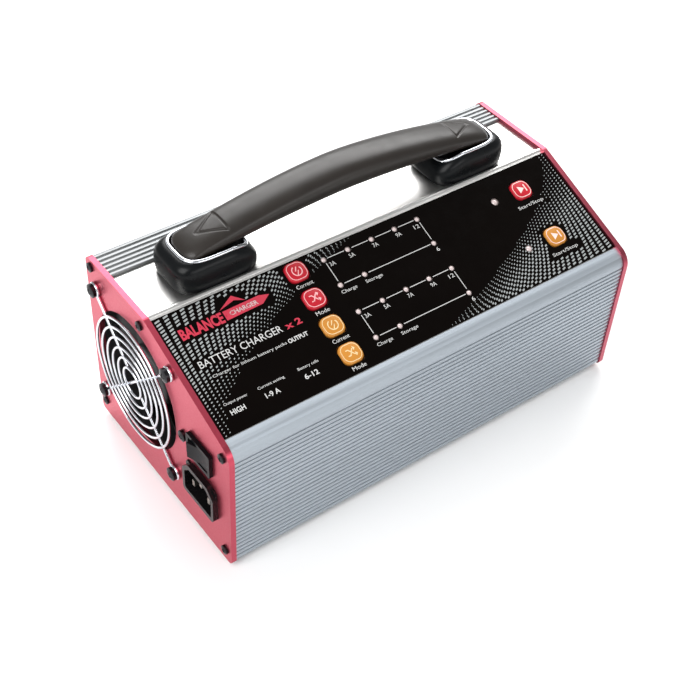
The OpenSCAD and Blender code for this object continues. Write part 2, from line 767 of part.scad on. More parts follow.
// Inlet pins, switch tabs and the earth lead's ring, cut from strip
module mains_terminals() color("gold") {
  on_inlet_plate(inlet_at) for (p = inlet_pins) {
    translate([p[0], p[1], -16]) block([2, 4, 17]);
    translate([p[0], p[1], -22]) block([0.8, 4, 6.2]);
  }
  on_inlet_plate(switch_at) for (x = switch_tabs) translate([x, 0, -22]) block([0.8, 4.8, 8]);
  on_inlet_plate(earth_at) translate([0, 0, -end_plate_t - 1.2]) {
    ring(3.9, 2, 1.2);
    translate([0, -6, 0]) block([4, 5.4, 1.2]);
  }
}

module power_switch_body() color("black") on_inlet_plate(switch_at) difference() {
  union() {
    linear_extrude(2) rounded_rect(21, 15, 1.2);
    translate([0, 0, -15]) block([19, 12.9, 16]);
  }
  translate([0, 0, -6]) block([17.2, 11, 20]);
  translate([0, 0, -rocker_inset]) rotate([90, 0, 0]) cylinder(r = 1.26, h = 12.5, center = true, $fn = 24);
  for (x = switch_tabs) translate([x, 0, -18]) block([0.9, 4.9, 4]);
}

// Rocker, lying with its rear half up; x is towards the back, z out of the plate
module power_switch_rocker() color("dimgray") on_inlet_plate(switch_at)
  translate([0, 0, -rocker_inset]) rotate([0, -rocker_tilt, 0]) {
    rotate([90, 0, 0]) linear_extrude(10.4, center = true)
      polygon([[-7.2, 5], [-7, 1], [-2.5, -1.8], [2.5, -1.8], [7, 1], [7.2, 5], [0, 3.6]]);
    rotate([90, 0, 0]) cylinder(r = 1.2, h = 12.2, center = true, $fn = 24);
  }

module earth_screw() color("dimgray") on_inlet_plate(earth_at) pan_screw(3.1, 2.2, 1.95, 10);

// Routes of the leads, as [x behind the end plate, distance from the front, height]
live_in_route = [[22, 18.5, 32.5], [27, 18.5, 32.5], [28, 19, 46], [27, 20, 60.5], [22, 20, 60.5]];
live_out_route = [[22, 31, 60.5], [32, 31, 60.5], [38, 28, 30], [38, 28, 10.6]];
neutral_route = [[22, 32.5, 32.5], [30, 32.5, 32.5], [38, 36, 24], [38, 36, 10.6]];
earth_route = [[22, 25.5, 38], [27, 25.5, 38], [26, 38, 45], [10, 41.5, 52], [4.2, 41.5, 52]];
fan_routes = [for (d = [-1, 1])
  [[28, 87 + d, 44], [34, 87 + d, 44], [32, 76 + d, 22], [35, 75 + d, 18], [35, 75 + d, 10.6]]];

// A lead from the inlet end plate's outer face inwards
module plate_lead(route, r, across)
  lead([for (p = route) [p[0] - case_length / 2, py(p[1]), pz(p[2])]], r, across);

// Line, neutral and earth leads, from the inlet by the switch to the power board
module mains_wires() {
  color("saddlebrown") plate_lead(live_in_route, 1.3, [0, 1, 0]);
  color("saddlebrown") plate_lead(live_out_route, 1.3, [0, 1, 0]);
  color("royalblue") plate_lead(neutral_route, 1.3, [0, 1, 0]);
  color("green") plate_lead(earth_route, 1.3, [0, 0, 1]);
}

module fan_lead() color("firebrick") for (route = fan_routes) plate_lead(route, 0.8, [0, 1, 0]);

// ---- Power board ----

// Puts children on top of a circuit board
module on_board(x, d) translate([x, py(d), pz(pcb_top)]) children();

module board(x_range) difference() {
  translate([x_range[0], py(board_d[0]), pz(pcb_low)])
    cube([x_range[1] - x_range[0], board_d[1] - board_d[0], board_t]);
  for (p = board_spacer_at) translate([p[0], py(p[1]), pz(pcb_low - 2)]) cylinder(r = 1.6, h = 6, $fn = 24);
}

module power_board() color("darkgreen") board(power_board_x);

module charge_board() color("darkgreen") board(charge_board_x);

// Glass cartridge fuse in two clips
module mains_fuse() color("lightsteelblue") on_board(-78, 22) {
  translate([-10, 0, 5]) rotate([0, 90, 0]) cylinder(r = 2.4, h = 20, $fn = 24);
  for (s = [-1, 1]) translate([s * 8, 0, 0]) {
    block([4, 6.4, 3.4]);
    translate([-2.5, 0, 5]) rotate([0, 90, 0]) cylinder(r = 2.7, h = 5, $fn = 24);
  }
}

module filter_choke() color("peru") on_board(-84, 58) {
  block([26, 26, 2]);
  translate([0, 0, 15]) rotate([90, 0, 0]) torus(9.6, 4.3);
  translate([0, 0, 1]) block([8, 8, 5]);
}

module film_capacitors() color("gold") {
  on_board(-59, 40) block([22, 10, 19]);
  on_board(-59, 54) block([22, 10, 19]);
}

module bridge_rectifier() color("dimgray") on_board(-46, 28.4) {
  translate([0, 0, 3]) block([30, 4.4, 20]);
  for (i = [-1.5:1.5]) translate([i * 7.5, 0, 0]) block([1.2, 1, 4]);
}

module electrolytic_capacitors() color("midnightblue") {
  for (x = [-78, -46, -14]) on_board(x, 98) cylinder(r = 14.5, h = 46);
  for (i = [0:5]) on_board(34 + i * 12, 108) cylinder(r = 5, h = 25);
}

module pfc_inductor() color("goldenrod") on_board(-40, 66) {
  block([12, 20, 2.4]);
  translate([0, 0, 18]) rotate([0, 90, 0]) torus(11, 5.5);
}

heatsink_h = 36;

// Finned bar with its web upright; fins point to the front
module heatsink(length) {
  fins = 7;
  rotate([90, 0, 90]) linear_extrude(length, center = true) {
    square([4, heatsink_h]);
    for (i = [0:fins - 1]) translate([-9, 1 + i * 5.4]) square([9.5, 1.6]);
  }
}

module heatsinks() color("lightgray") {
  on_board(-30, 22) heatsink(70);
  on_board(64, 76) heatsink(74);
}

// Tab-mounted transistors against the webs of the heat sinks
module power_transistors() color("dimgray") {
  for (i = [0, 1]) on_board(-22 + i * 18, 28.6) transistor();
  for (i = [0:3]) on_board(37 + i * 18, 82.6) transistor();
}

module transistor() {
  translate([0, 0, 6]) block([15.6, 5, 20]);
  for (i = [-1:1]) translate([i * 5, 0, 0]) block([1.2, 1, 7]);
}

module transformer_core() color("dimgray") on_board(-8, 62) difference() {
  block([38, 15, 36]);
  for (s = [-1, 1]) translate([s * 11, 0, 8]) block([10, 20, 20]);
}

module transformer_windings() color("khaki") on_board(-8, 62) difference() {
  translate([0, 0, 8.3]) block([31, 26, 19.4]);
  translate([0, 0, 6]) block([12.2, 15.2, 30]);
}

module charge_inductors() color("peru") for (x = [36, 62], d = [28, 53]) on_board(x, d) {
  cylinder(r = 10.5, h = 1.6);
  translate([0, 0, 5.5]) torus(7.5, 4.3);
}

// ---- Battery end ----

socket_proud = 4.6;

module output_sockets() color("black") for (h = output_h) on_output_plate([socket_d, h]) difference() {
  union() {
    linear_extrude(socket_proud) rounded_rect(31, 17, 4);
    translate([0, 0, -16]) linear_extrude(17) rounded_rect(26, 12, 3);
  }
  for (s = [-1, 1]) translate([s * contact_pitch / 2, 0, -20]) cylinder(r = 4.1, h = 40);
}

// Socket contacts, sunk into the sockets' mouths
contact_back = 19;
contact_sunk = 1.5;

module output_contacts() color("gold") for (h = output_h, s = [-1, 1])
  on_output_plate([socket_d + s * contact_pitch / 2, h]) translate([0, 0, -contact_back]) difference() {
    cylinder(r = 4, h = contact_back - contact_sunk);
    translate([0, 0, 5]) cylinder(r = 2.7, h = contact_back);
  }

// Output leads, straight in from each contact and down to the charge board
module output_wires() for (i = [0, 1], s = [-1, 1]) color(s > 0 ? "crimson" : "dimgray") {
  d = socket_d + s * contact_pitch / 2;
  x = case_length / 2 - 27 - 6 * i;
  translate([x, py(d), pz(pcb_top)]) cylinder(r = 2, h = output_h[i] - pcb_top, $fn = 24);
  translate([x, py(d), pz(output_h[i])]) sphere(2, $fn = 24);
  translate([x, py(d), pz(output_h[i])]) rotate([0, 90, 0])
    cylinder(r = 2, h = case_length / 2 - contact_back - x, $fn = 24);
}

balance_shell_w = balance_ways * balance_pitch + 2.4;
balance_shell_h = 6.6;

module balance_sockets() color("ivory") for (h = balance_h) on_output_plate([socket_d, h])
  translate([0, 0, -9.4]) difference() {
    block([balance_shell_w, balance_shell_h, 10.4]);
    translate([0, 0, 2]) block([balance_shell_w - 1.8, balance_shell_h - 1.8, 12]);
    for (i = [0:balance_ways - 1]) translate([(i - (balance_ways - 1) / 2) * balance_pitch, 0, -1])
      block([0.7, 0.7, 4]);
  }

module balance_pins() color("gold") for (h = balance_h, i = [0:balance_ways - 1])
  on_output_plate([socket_d + (i - (balance_ways - 1) / 2) * balance_pitch, h])
    translate([0, 0, -13]) block([0.64, 0.64, 11.4]);

// Small upright board that carries both balance sockets, standing on the base plate
module balance_board() color("darkgreen") difference() {
  x = case_length / 2 - 9.4 - 1.6;
  translate([x, py(socket_d - 20), pz(base_top)]) cube([1.6, 40, balance_h[1] + 5 - base_top]);
  for (h = output_h, s = [-1, 1]) translate([x - 1, py(socket_d + s * contact_pitch / 2), pz(h)])
    rotate([0, 90, 0]) cylinder(r = 4.4, h = 4);
  for (h = output_h) translate([x - 1, py(socket_d) - 13.2, pz(h) - 6.2]) cube([4, 26.4, 12.4]);
  for (h = balance_h, i = [0:balance_ways - 1])
    translate([x + 0.8, py(socket_d + (i - (balance_ways - 1) / 2) * balance_pitch), pz(h)])
      cube([4, 0.7, 0.7], center = true);
}

front_rail();
rear_rail();
top_panel();
base_plate();
base_plate_screws();
inlet_end_plate();
output_end_plate();
end_plate_screws();
rubber_feet();
feet_screws();
panel_overlay();
current_key_1();
mode_key_1();
current_key_2();
mode_key_2();
start_key_1();
start_key_2();
key_switches();
indicator_lamps();
control_board();
control_chips();
control_ribbon();
board_spacers();
board_screws();
handle_grip();
handle_foot_inlet_end();
handle_foot_output_end();
handle_trims();
handle_screws();
fan_guard();
fan_screws();
fan_frame();
fan_stator();
fan_rotor();
mains_inlet();
mains_terminals();
power_switch_body();
power_switch_rocker();
earth_screw();
mains_wires();
fan_lead();
power_board();
mains_fuse();
filter_choke();
film_capacitors();
bridge_rectifier();
electrolytic_capacitors();
pfc_inductor();
heatsinks();
power_transistors();
transformer_core();
transformer_windings();
charge_board();
charge_inductors();
output_sockets();
output_contacts();
output_wires();
balance_board();
balance_sockets();
balance_pins();
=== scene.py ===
"""Looks of the balance battery charger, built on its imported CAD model.

Places and sizes are in millimetres of the case: x along it, d back from its front, h over its underside,
and run and level along and out of the sloping panel. MM turns them into the frame's metres.
"""
import json
import math

import bmesh
import bpy
from mathutils import Matrix, Vector


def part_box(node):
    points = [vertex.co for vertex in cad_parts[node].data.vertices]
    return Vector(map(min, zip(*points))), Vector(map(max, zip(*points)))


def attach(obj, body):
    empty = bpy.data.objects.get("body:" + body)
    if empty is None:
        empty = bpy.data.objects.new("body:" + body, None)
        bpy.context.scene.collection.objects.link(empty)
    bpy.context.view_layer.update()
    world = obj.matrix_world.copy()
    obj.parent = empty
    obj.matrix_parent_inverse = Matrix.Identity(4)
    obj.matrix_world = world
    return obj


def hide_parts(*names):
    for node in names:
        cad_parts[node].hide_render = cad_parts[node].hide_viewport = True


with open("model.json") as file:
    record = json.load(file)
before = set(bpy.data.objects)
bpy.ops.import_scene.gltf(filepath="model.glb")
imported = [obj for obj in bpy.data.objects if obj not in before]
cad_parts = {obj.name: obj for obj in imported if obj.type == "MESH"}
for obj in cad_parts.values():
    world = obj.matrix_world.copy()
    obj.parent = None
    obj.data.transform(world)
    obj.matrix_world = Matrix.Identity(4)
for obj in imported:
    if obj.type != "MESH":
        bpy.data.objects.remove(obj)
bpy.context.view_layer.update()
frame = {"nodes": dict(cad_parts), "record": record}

MM = 0.001
plate_low, plate_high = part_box("inlet_end_plate")
CASE_END = -plate_low.x / MM
CASE_DEPTH = (plate_high.y - plate_low.y) / MM
CASE_HEIGHT = (plate_high.z - plate_low.z) / MM
FEET = plate_low.z / MM
# Section of the case: where the slope starts and how deep it is, the overlay's level and its lower and upper
# edge along the slope, the smooth top, and the foot of the plain band over the front ribs
SLOPE_FOOT = 81.3
SLOPE_DEPTH = 74.3
SLOPE = math.atan((CASE_HEIGHT - SLOPE_FOOT) / SLOPE_DEPTH)
OVERLAY_TOP = -1.0
OVERLAY_LOW = 9.5
OVERLAY_HIGH = 78.0
SMOOTH_TOP = 107.6
BAND_FOOT = SLOPE_FOOT + FEET - 0.6


def case_point(x, d, h):
    return Vector((x, d - CASE_DEPTH / 2, h + FEET)) * MM


def placed(origin, x_axis, y_axis, z_axis):
    """Matrix from millimetres in a local frame to metres in the row frame."""
    turn = Matrix([x_axis, y_axis, z_axis]).transposed().to_4x4()
    return Matrix.Translation(origin) @ turn @ Matrix.Scale(MM, 4)


PANEL = placed(
    case_point(0, 0, SLOPE_FOOT),
    (1, 0, 0),
    (0, math.cos(SLOPE), math.sin(SLOPE)),
    (0, -math.sin(SLOPE), math.cos(SLOPE)),
)


def on_inlet_plate(d, h):
    """Local frame on the inlet plate: x towards the front, y up, z out of the plate."""
    return placed(case_point(-CASE_END, d, h), (0, -1, 0), (0, 0, 1), (-1, 0, 0))


# ---- Camera ----

CAMERA_PLACE = (-0.3271, -0.3878, 0.5223)
CAMERA_HEADING = 39.32
CAMERA_DOWN = 44.2
CAMERA_ROLL = 4.04
CAMERA_LENS = 64.77


def add_camera():
    heading, down, roll = (math.radians(a) for a in (CAMERA_HEADING, CAMERA_DOWN, CAMERA_ROLL))
    ahead = Vector((math.sin(heading) * math.cos(down), math.cos(heading) * math.cos(down), -math.sin(down)))
    level = Vector((math.cos(heading), -math.sin(heading), 0))
    up = level.cross(ahead)
    right = level * math.cos(roll) + up * math.sin(roll)
    data = bpy.data.cameras.new("camera")
    data.lens = CAMERA_LENS
    data.clip_start = 0.01
    camera = bpy.data.objects.new("camera", data)
    camera.matrix_world = Matrix([right, right.cross(ahead), -ahead]).transposed().to_4x4()
    camera.location = CAMERA_PLACE
    bpy.context.scene.collection.objects.link(camera)
    bpy.context.scene.camera = camera


# ---- Materials ----

COAT_ROUGHNESS = 0.06
# Height over which the painted step from shade to light happens
STEP_WIDTH = 0.3
# Stretch of a texture drawn out along the case
ALONG_X = (60, 1, 1)


class Finish:
    """A Principled material with a fine grain and a broad unevenness, in the row frame's own coordinates."""

    def __init__(self, name, colour, rough, metallic=0.0, coat=0.0):
        self.material = bpy.data.materials.new(name)
        self.material.use_nodes = True
        self.tree = self.material.node_tree
        self.shader = self.tree.nodes["Principled BSDF"]
        self.colour = colour
        self.rough = rough
        self.set("Base Color", (*colour, 1))
        self.set("Roughness", rough)
        self.set("Metallic", metallic)
        self.set("Coat Weight", coat)
        self.set("Coat Roughness", COAT_ROUGHNESS)
        self.place = self.node("ShaderNodeTexCoord").outputs["Object"]

    def set(self, socket, value):
        self.shader.inputs[socket].default_value = value
        return self

    def node(self, kind, **values):
        made = self.tree.nodes.new(kind)
        for name, value in values.items():
            setattr(made, name, value)
        return made

    def link(self, output, node, socket):
        self.tree.links.new(output, node.inputs[socket])

    def noise(self, size, stretch=(1, 1, 1), detail=3.0):
        """Noise whose features are about size millimetres wide, drawn out along stretch."""
        mapping = self.node("ShaderNodeMapping")
        mapping.inputs["Scale"].default_value = [1 / s for s in stretch]
        self.link(self.place, mapping, "Vector")
        noise = self.node("ShaderNodeTexNoise")
        noise.inputs["Scale"].default_value = 1 / (size * MM)
        noise.inputs["Detail"].default_value = detail
        self.link(mapping.outputs["Vector"], noise, "Vector")
        return noise.outputs["Fac"]

    def span(self, value, low, high, start=0.3, end=0.7):
        """Value from start to end turned into low to high."""
        node = self.node("ShaderNodeMapRange")
        for name, number in (("From Min", start), ("From Max", end), ("To Min", low), ("To Max", high)):
            node.inputs[name].default_value = number
        self.link(value, node, "Value")
        return node.outputs["Result"]

    def mix(self, factor, first, second):
        node = self.node("ShaderNodeMix", data_type="RGBA")
        self.link(factor, node, "Factor")
        for socket, colour in (("A", first), ("B", second)):
            inputs = [i for i in node.inputs if i.name == socket and i.type == "RGBA"]
            if isinstance(colour, tuple):
                inputs[0].default_value = (*colour, 1)
            else:
                self.tree.links.new(colour, inputs[0])
        return [o for o in node.outputs if o.type == "RGBA"][0]

    def uneven(self, size, amount, stretch=(1, 1, 1)):
        """Colour that drifts lighter and darker over patches of about size millimetres."""
        dark = tuple(c * (1 - amount) for c in self.colour)
        light = tuple(min(1, c * (1 + amount)) for c in self.colour)
        factor = self.span(self.noise(size, stretch), 0, 1)
        self.link(self.mix(factor, dark, light), self.shader, "Base Color")
        return self

    def painted_light_above(self, height, share):
        """Painted light and shade: colour share times as bright above a height over the ground in
        millimetres.
        """
        split = self.node("ShaderNodeSeparateXYZ")
        self.link(self.place, split, "Vector")
        scaled = self.node("ShaderNodeVectorMath", operation="SCALE")
        self.link(self.shader.inputs["Base Color"].links[0].from_socket, scaled, "Vector")
        step = self.span(split.outputs["Z"], 1, share, (height - STEP_WIDTH) * MM, height * MM)
        self.link(step, scaled, "Scale")
        self.link(scaled.outputs["Vector"], self.shader, "Base Color")
        return self

    def patchy(self, size, spread, stretch=(1, 1, 1)):
        """Roughness that varies by spread over patches of about size millimetres."""
        value = self.span(self.noise(size, stretch), self.rough - spread, self.rough + spread)
        self.link(value, self.shader, "Roughness")
        return self

    def grain(self, size, height, stretch=(1, 1, 1), detail=2.0):
        """Surface texture of about size millimetres, height millimetres high."""
        bump = self.node("ShaderNodeBump")
        bump.inputs["Strength"].default_value = 1
        bump.inputs["Distance"].default_value = height * MM
        self.link(self.noise(size, stretch, detail), bump, "Height")
        self.link(bump.outputs["Normal"], self.shader, "Normal")
        return self




def metal(name, colour, rough, stretch=(1, 1, 1), size=0.5, height=0.004):
    finish = Finish(name, colour, rough, metallic=1.0)
    return finish.uneven(35, 0.04, stretch).patchy(size * 3, 0.05, stretch).grain(size, height, stretch)


def plastic(name, colour, rough, size=0.4, height=0.006, amount=0.06, coat=0.0, shine=0.5):
    finish = Finish(name, colour, rough, coat=coat).set("Specular IOR Level", shine)
    return finish.uneven(18, amount).patchy(6, 0.04).grain(size, height)


def printed(name, colour):
    return Finish(name, colour, 0.32).uneven(3, 0.05).patchy(1.5, 0.05).grain(0.25, 0.002)


def make_finishes():
    # Painted shade and light on the case: its ribbed wall is darkened for the shade in the grooves, and the
    # plain band over the ribs is painted 1.45 times as bright
    silver = metal("anodised_silver_painted_shading", (0.39, 0.43, 0.47), 0.5, ALONG_X, 0.35, 0.006)
    made = {
        "case_silver": silver.painted_light_above(BAND_FOOT, 1.45),
        # Painted shade: a darker copy of the case's anodised silver for the rear rail, taking down the light
        # its upward ribs catch
        "rear_silver_painted_shade": metal("rear_silver_painted_shade", (0.27, 0.28, 0.285), 0.5, ALONG_X, 0.35, 0.006),
        "top_silver": metal("bright_silver", (0.82, 0.81, 0.79), 0.34, size=0.3, height=0.002),
        "output_plate_red": metal("output_plate_red", (0.42, 0.08, 0.115), 0.36, size=0.25, height=0.003),
        "end_plate_red": metal("anodised_red", (0.52, 0.072, 0.112), 0.36, size=0.25, height=0.003),
        "screw_black": metal("black_oxide", (0.03, 0.03, 0.033), 0.3, size=0.6, height=0.004),
        "screw_steel": metal("zinc_steel", (0.55, 0.55, 0.57), 0.3, size=0.6, height=0.004),
        "rubber_black": plastic("rubber", (0.018, 0.018, 0.018), 0.8, 0.5, 0.02),
        "overlay_black": plastic("overlay_film", (0.002, 0.0012, 0.0009), 0.16, 1.2, 0.0008, 0.1, shine=0.06),
        "grip_grey": plastic("grip_plastic", (0.018, 0.0145, 0.012), 0.37, 0.45, 0.012, 0.1, shine=0.38),
        "foot_black": plastic("foot_plastic", (0.003, 0.0038, 0.0045), 0.3, 0.5, 0.006, shine=0.17),
        "chrome_trim": metal("chrome", (0.7, 0.72, 0.76), 0.18, size=1.5, height=0.001),
        "fan_black": plastic("fan_plastic", (0.012, 0.012, 0.013), 0.45, 0.5, 0.008),
        "switch_black": plastic("switch_black", (0.004, 0.004, 0.005), 0.3, 0.8, 0.003, shine=0.1),
        # Partly painted shade: nickel-plated inlet pins, their colour darkened for the shade inside the mains
        # inlet's recess
        "pin_nickel_painted_shade": metal("pin_nickel_painted_shade", (0.36, 0.34, 0.3), 0.32),
        "fitting_black": plastic("gloss_black", (0.005, 0.0045, 0.005), 0.24, 0.8, 0.003, shine=0.25),
        "contact_brass": metal("brass", (0.78, 0.56, 0.22), 0.28),
        "copper_winding": metal("copper_wire", (0.62, 0.25, 0.1), 0.35, size=0.9, height=0.05),
        "winding_tape": plastic("winding_tape", (0.72, 0.5, 0.08), 0.45, 0.9, 0.02),
        "ferrite": plastic("ferrite", (0.05, 0.05, 0.055), 0.55, 0.6, 0.02),
        "board_green": plastic("solder_mask", (0.01, 0.09, 0.035), 0.3, 1.5, 0.01, 0.2),
        "component_black": plastic("moulded_epoxy", (0.02, 0.02, 0.022), 0.5, 0.4, 0.01),
        "capacitor_blue": plastic("capacitor_sleeve", (0.02, 0.035, 0.14), 0.3, 0.8, 0.004),
        "capacitor_yellow": plastic("capacitor_box", (0.72, 0.42, 0.03), 0.35, 0.5, 0.006),
        "heatsink_aluminium": metal("plain_aluminium", (0.62, 0.63, 0.65), 0.4, ALONG_X, 0.5, 0.01),
        "fuse_glass": plastic("fuse", (0.6, 0.66, 0.68), 0.12, 1.0, 0.002),
        "wire_insulation": plastic("wire_insulation", (0.28, 0.05, 0.035), 0.45, 0.8, 0.006),
        "ribbon_grey": plastic("ribbon", (0.4, 0.4, 0.4), 0.5, 0.9, 0.03),
        "socket_ivory": plastic("nylon", (0.72, 0.66, 0.5), 0.42, 0.5, 0.004),
        "lamp_clear": plastic("lamp_lens", (0.6, 0.5, 0.49), 0.2, 0.9, 0.002, 0.03, coat=0.3),
        "key_red": plastic("key_red", (0.44, 0.010, 0.022), 0.36, 0.5, 0.003, 0.08, shine=0.3),
        "key_amber": plastic("key_amber", (0.5, 0.205, 0.03), 0.36, 0.5, 0.003, 0.08, shine=0.3),
        "ink_white": printed("white_ink", (0.56, 0.56, 0.55)),
        "ink_silver": printed("silver_ink", (0.3, 0.32, 0.32)),
        "ink_red": printed("red_ink", (0.5, 0.025, 0.055)),
        "key_print": printed("key_print", (0.82, 0.62, 0.58)),
        "key_print_red": printed("key_print_red", (0.78, 0.42, 0.43)),
        "key_print_amber": printed("key_print_amber", (0.74, 0.56, 0.3)),
    }
    return {slot: finish.material for slot, finish in made.items()}


finishes = make_finishes()


def paint_cad_nodes():
    """Gives every CAD node the finish of its material slot."""
    own = {"top_panel": "top_silver", "rear_rail": "rear_silver_painted_shade", "mains_terminals": "pin_nickel_painted_shade"}
    for part in frame["record"]["subparts"]:
        node = frame["nodes"][part["node"]]
        finish = finishes[own.get(part["node"], part["material_slot"])]
        node.data.materials.clear()
        node.data.materials.append(finish)


# ---- Mesh helpers ----


def skin(rings, loop=False):
    """Points and faces of a closed surface through rings of equal size, anticlockwise from the next."""
    n = len(rings[0])
    points = [p for ring in rings for p in ring]
    faces = []
    for i in range(len(rings) if loop else len(rings) - 1):
        for k in range(n):
            low, high = i * n, (i + 1) % len(rings) * n
            after = (k + 1) % n
            faces.append((low + k, low + after, high + after, high + k))
    if not loop:
        faces.append(tuple(range(n - 1, -1, -1)))
        faces.append(tuple(range(len(points) - n, len(points))))
    return points, faces


def joined(parts):
    """One list of points and faces from several."""
    points, faces = [], []
    for part_points, part_faces in parts:
        faces += [tuple(i + len(points) for i in face) for face in part_faces]
        points += part_points
    return points, faces


def add_piece(name, shape, place, slot, finish=None, body="case", replaces=(), sharp=35):
    """Adds a mesh piece, made of points and faces in a local frame, that rides on a body."""
    mesh = bpy.data.meshes.new(name)
    mesh.from_pydata([place @ Vector(p) for p in shape[0]], [], shape[1])
    mesh.update()
    mesh.shade_smooth()
    mesh.set_sharp_from_angle(angle=math.radians(sharp))
    add_mesh(name, mesh, slot, finish, body, replaces)


def add_mesh(name, mesh, slot, finish=None, body="case", replaces=()):
    """Adds a finished mesh as a piece that rides on a body."""
    piece = bpy.data.objects.new(name, mesh)
    bpy.context.scene.collection.objects.link(piece)
    mesh.materials.clear()
    mesh.materials.append(finishes[finish or slot])
    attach(piece, body)
    if replaces:
        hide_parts(*replaces)


def sweep(path, radius, sides=12, across=Vector((0, 0, 1)), loop=False, flat=1.0):
    """Round bar along a path of points; flat squeezes it along the across direction."""
    rings = []
    count = len(path)
    for i, p in enumerate(path):
        ahead = path[(i + 1) % count] if loop or i < count - 1 else p
        behind = path[i - 1] if loop or i > 0 else p
        along = (ahead - behind).normalized()
        u = along.cross(across).normalized()
        v = along.cross(u)
        angles = [2 * math.pi * k / sides for k in range(sides)]
        rings.append([p + radius * (math.cos(a) * u + flat * math.sin(a) * v) for a in angles])
    return skin(rings, loop)


def circle_path(radius, level, count=128, centre=(0, 0)):
    x, y = centre
    angles = [2 * math.pi * k / count for k in range(count)]
    return [Vector((x + radius * math.cos(a), y + radius * math.sin(a), level)) for a in angles]


def rounded_outline(width, height, radius, steps=8):
    """Anticlockwise outline of a rectangle with round corners."""
    points = []
    for quarter, (sx, sy) in enumerate(((1, 1), (-1, 1), (-1, -1), (1, -1))):
        for k in range(steps + 1):
            a = math.pi / 2 * (quarter + k / steps)
            centre = (sx * (width / 2 - radius), sy * (height / 2 - radius))
            points.append((centre[0] + radius * math.cos(a), centre[1] + radius * math.sin(a)))
    return points


def slab(outline, low, high):
    """Flat piece between two levels with the given anticlockwise outline."""
    return skin([[Vector((x, y, z)) for x, y in outline] for z in (low, high)])


# Edges that turn by more than this many degrees are rounded
EDGE_ANGLE = 40


def softened(node, width, slot, finish=None, body="case"):
    """Stands a copy with rounded edges in a CAD node's place, shaded so that its flat faces look flat."""
    mesh = frame["nodes"][node].data.copy()
    work = bmesh.new()
    work.from_mesh(mesh)
    bmesh.ops.remove_doubles(work, verts=work.verts, dist=1e-6)
    bmesh.ops.dissolve_limit(work, angle_limit=math.radians(0.5), verts=work.verts, edges=work.edges)
    sharp = [e for e in work.edges if e.is_manifold and e.calc_face_angle(0) > math.radians(EDGE_ANGLE)]
    bmesh.ops.bevel(
        work, geom=sharp, offset=width * MM, segments=2, profile=0.5, affect="EDGES", clamp_overlap=True
    )
    work.to_mesh(mesh)
    work.free()
    mesh.shade_smooth()
    normals = [Vector() for _ in mesh.vertices]
    for face in mesh.polygons:
        for i in face.vertices:
            normals[i] += face.normal * face.area
    mesh.normals_split_custom_set_from_vertices([n.normalized() for n in normals])
    add_mesh(node + "_softened", mesh, slot, finish, body, [node])


# ---- Handle ----

# Handle: its place, its feet with the rims round the grip's ends, the strip on each rim, and the grip itself
HANDLE_X = -1.8
HANDLE_D = 94
FOOT_X = 81.25
FOOT_L = 48
FOOT_H = 16.5
RIM_HALF_L = 18.2
RIM_HALF_W = 13.4
RIM_SHIFT = 1
RIM_SQUARE = 0.55
TRIM_REACH = 0.985
TRIM_R = 1.0
TRIM_LIFT = 0.3
TRIM_STEPS = 200
GRIP_END_GAP = 1.4
GRIP_SIDE_GAP = 1.2
GRIP_HALF = FOOT_X + RIM_HALF_L - RIM_SHIFT - GRIP_END_GAP
GRIP_W = 23.4
GRIP_TOP = 35.1
GRIP_CLEAR = 19
GRIP_END = 14
GRIP_ARCH = 1.67
GRIP_TOP_FALL = 14.7
GRIP_UNDER_FALL = 6.8
GRIP_TAPER = 0.9
GRIP_SQUARE = 0.8
GRIP_PLAN_POWER = 3.6
GRIP_END_DROP = 3
GRIP_END_RISE = 1.5
GRIP_SIDES = 144
HANDLE = placed(case_point(HANDLE_X, HANDLE_D, SMOOTH_TOP), (1, 0, 0), (0, 1, 0), (0, 0, 1))


def signed_power(v, e):
    return math.copysign(abs(v) ** e, v)


def grip_section(x):
    """Half width, top and underside of the grip at x from its middle."""
    past = max(0, abs(x) - GRIP_HALF + GRIP_END) / GRIP_END
    end = math.sqrt(max(0.004, 1 - past * past))
    arch = (abs(x) / GRIP_HALF) ** GRIP_ARCH
    plan_past = max(0, abs(x) - FOOT_X + RIM_SHIFT) / (GRIP_HALF - FOOT_X + RIM_SHIFT)
    plan_end = max(0.001, 1 - plan_past ** GRIP_PLAN_POWER) ** (1 / GRIP_PLAN_POWER)
    half_width = min(GRIP_W / 2 - GRIP_TAPER * (x / GRIP_HALF) ** 2, (RIM_HALF_W - GRIP_SIDE_GAP) * plan_end)
    top = GRIP_TOP - GRIP_TOP_FALL * arch - GRIP_END_DROP * (1 - end)
    underside = GRIP_CLEAR - GRIP_UNDER_FALL * arch + GRIP_END_RISE * (1 - end)
    return half_width, top, underside


def grip_point(x, angle):
    half_width, high, low = grip_section(x)
    y = half_width * signed_power(math.cos(angle), GRIP_SQUARE)
    z = (high + low) / 2 + (high - low) / 2 * signed_power(math.sin(angle), GRIP_SQUARE)
    return Vector((x, y, z))


# Arrow mark pressed into the top of the grip near each end, as [x, y] over the grip
ARROW_MARK = [(86.5, 0), (72.5, 7.9), (72.5, -7.9)]
GROOVE_W = 0.75
GROOVE_DEPTH = 0.55
MARK_START = 68
MARK_END = 90
MARK_STEP = 0.3
MARK_STATIONS = 72


def distance_to_edge(p, a, b):
    ab = (b[0] - a[0], b[1] - a[1])
    ap = (p[0] - a[0], p[1] - a[1])
    t = max(0, min(1, (ap[0] * ab[0] + ap[1] * ab[1]) / (ab[0] ** 2 + ab[1] ** 2)))
    return math.hypot(ap[0] - t * ab[0], ap[1] - t * ab[1])


def groove(x, y):
    """Depth of the arrow mark's groove at a place on top of the grip."""
    nearest = min(distance_to_edge((abs(x), y), ARROW_MARK[i], ARROW_MARK[i - 1]) for i in range(3))
    return GROOVE_DEPTH * max(0, 1 - (nearest / GROOVE_W) ** 2)


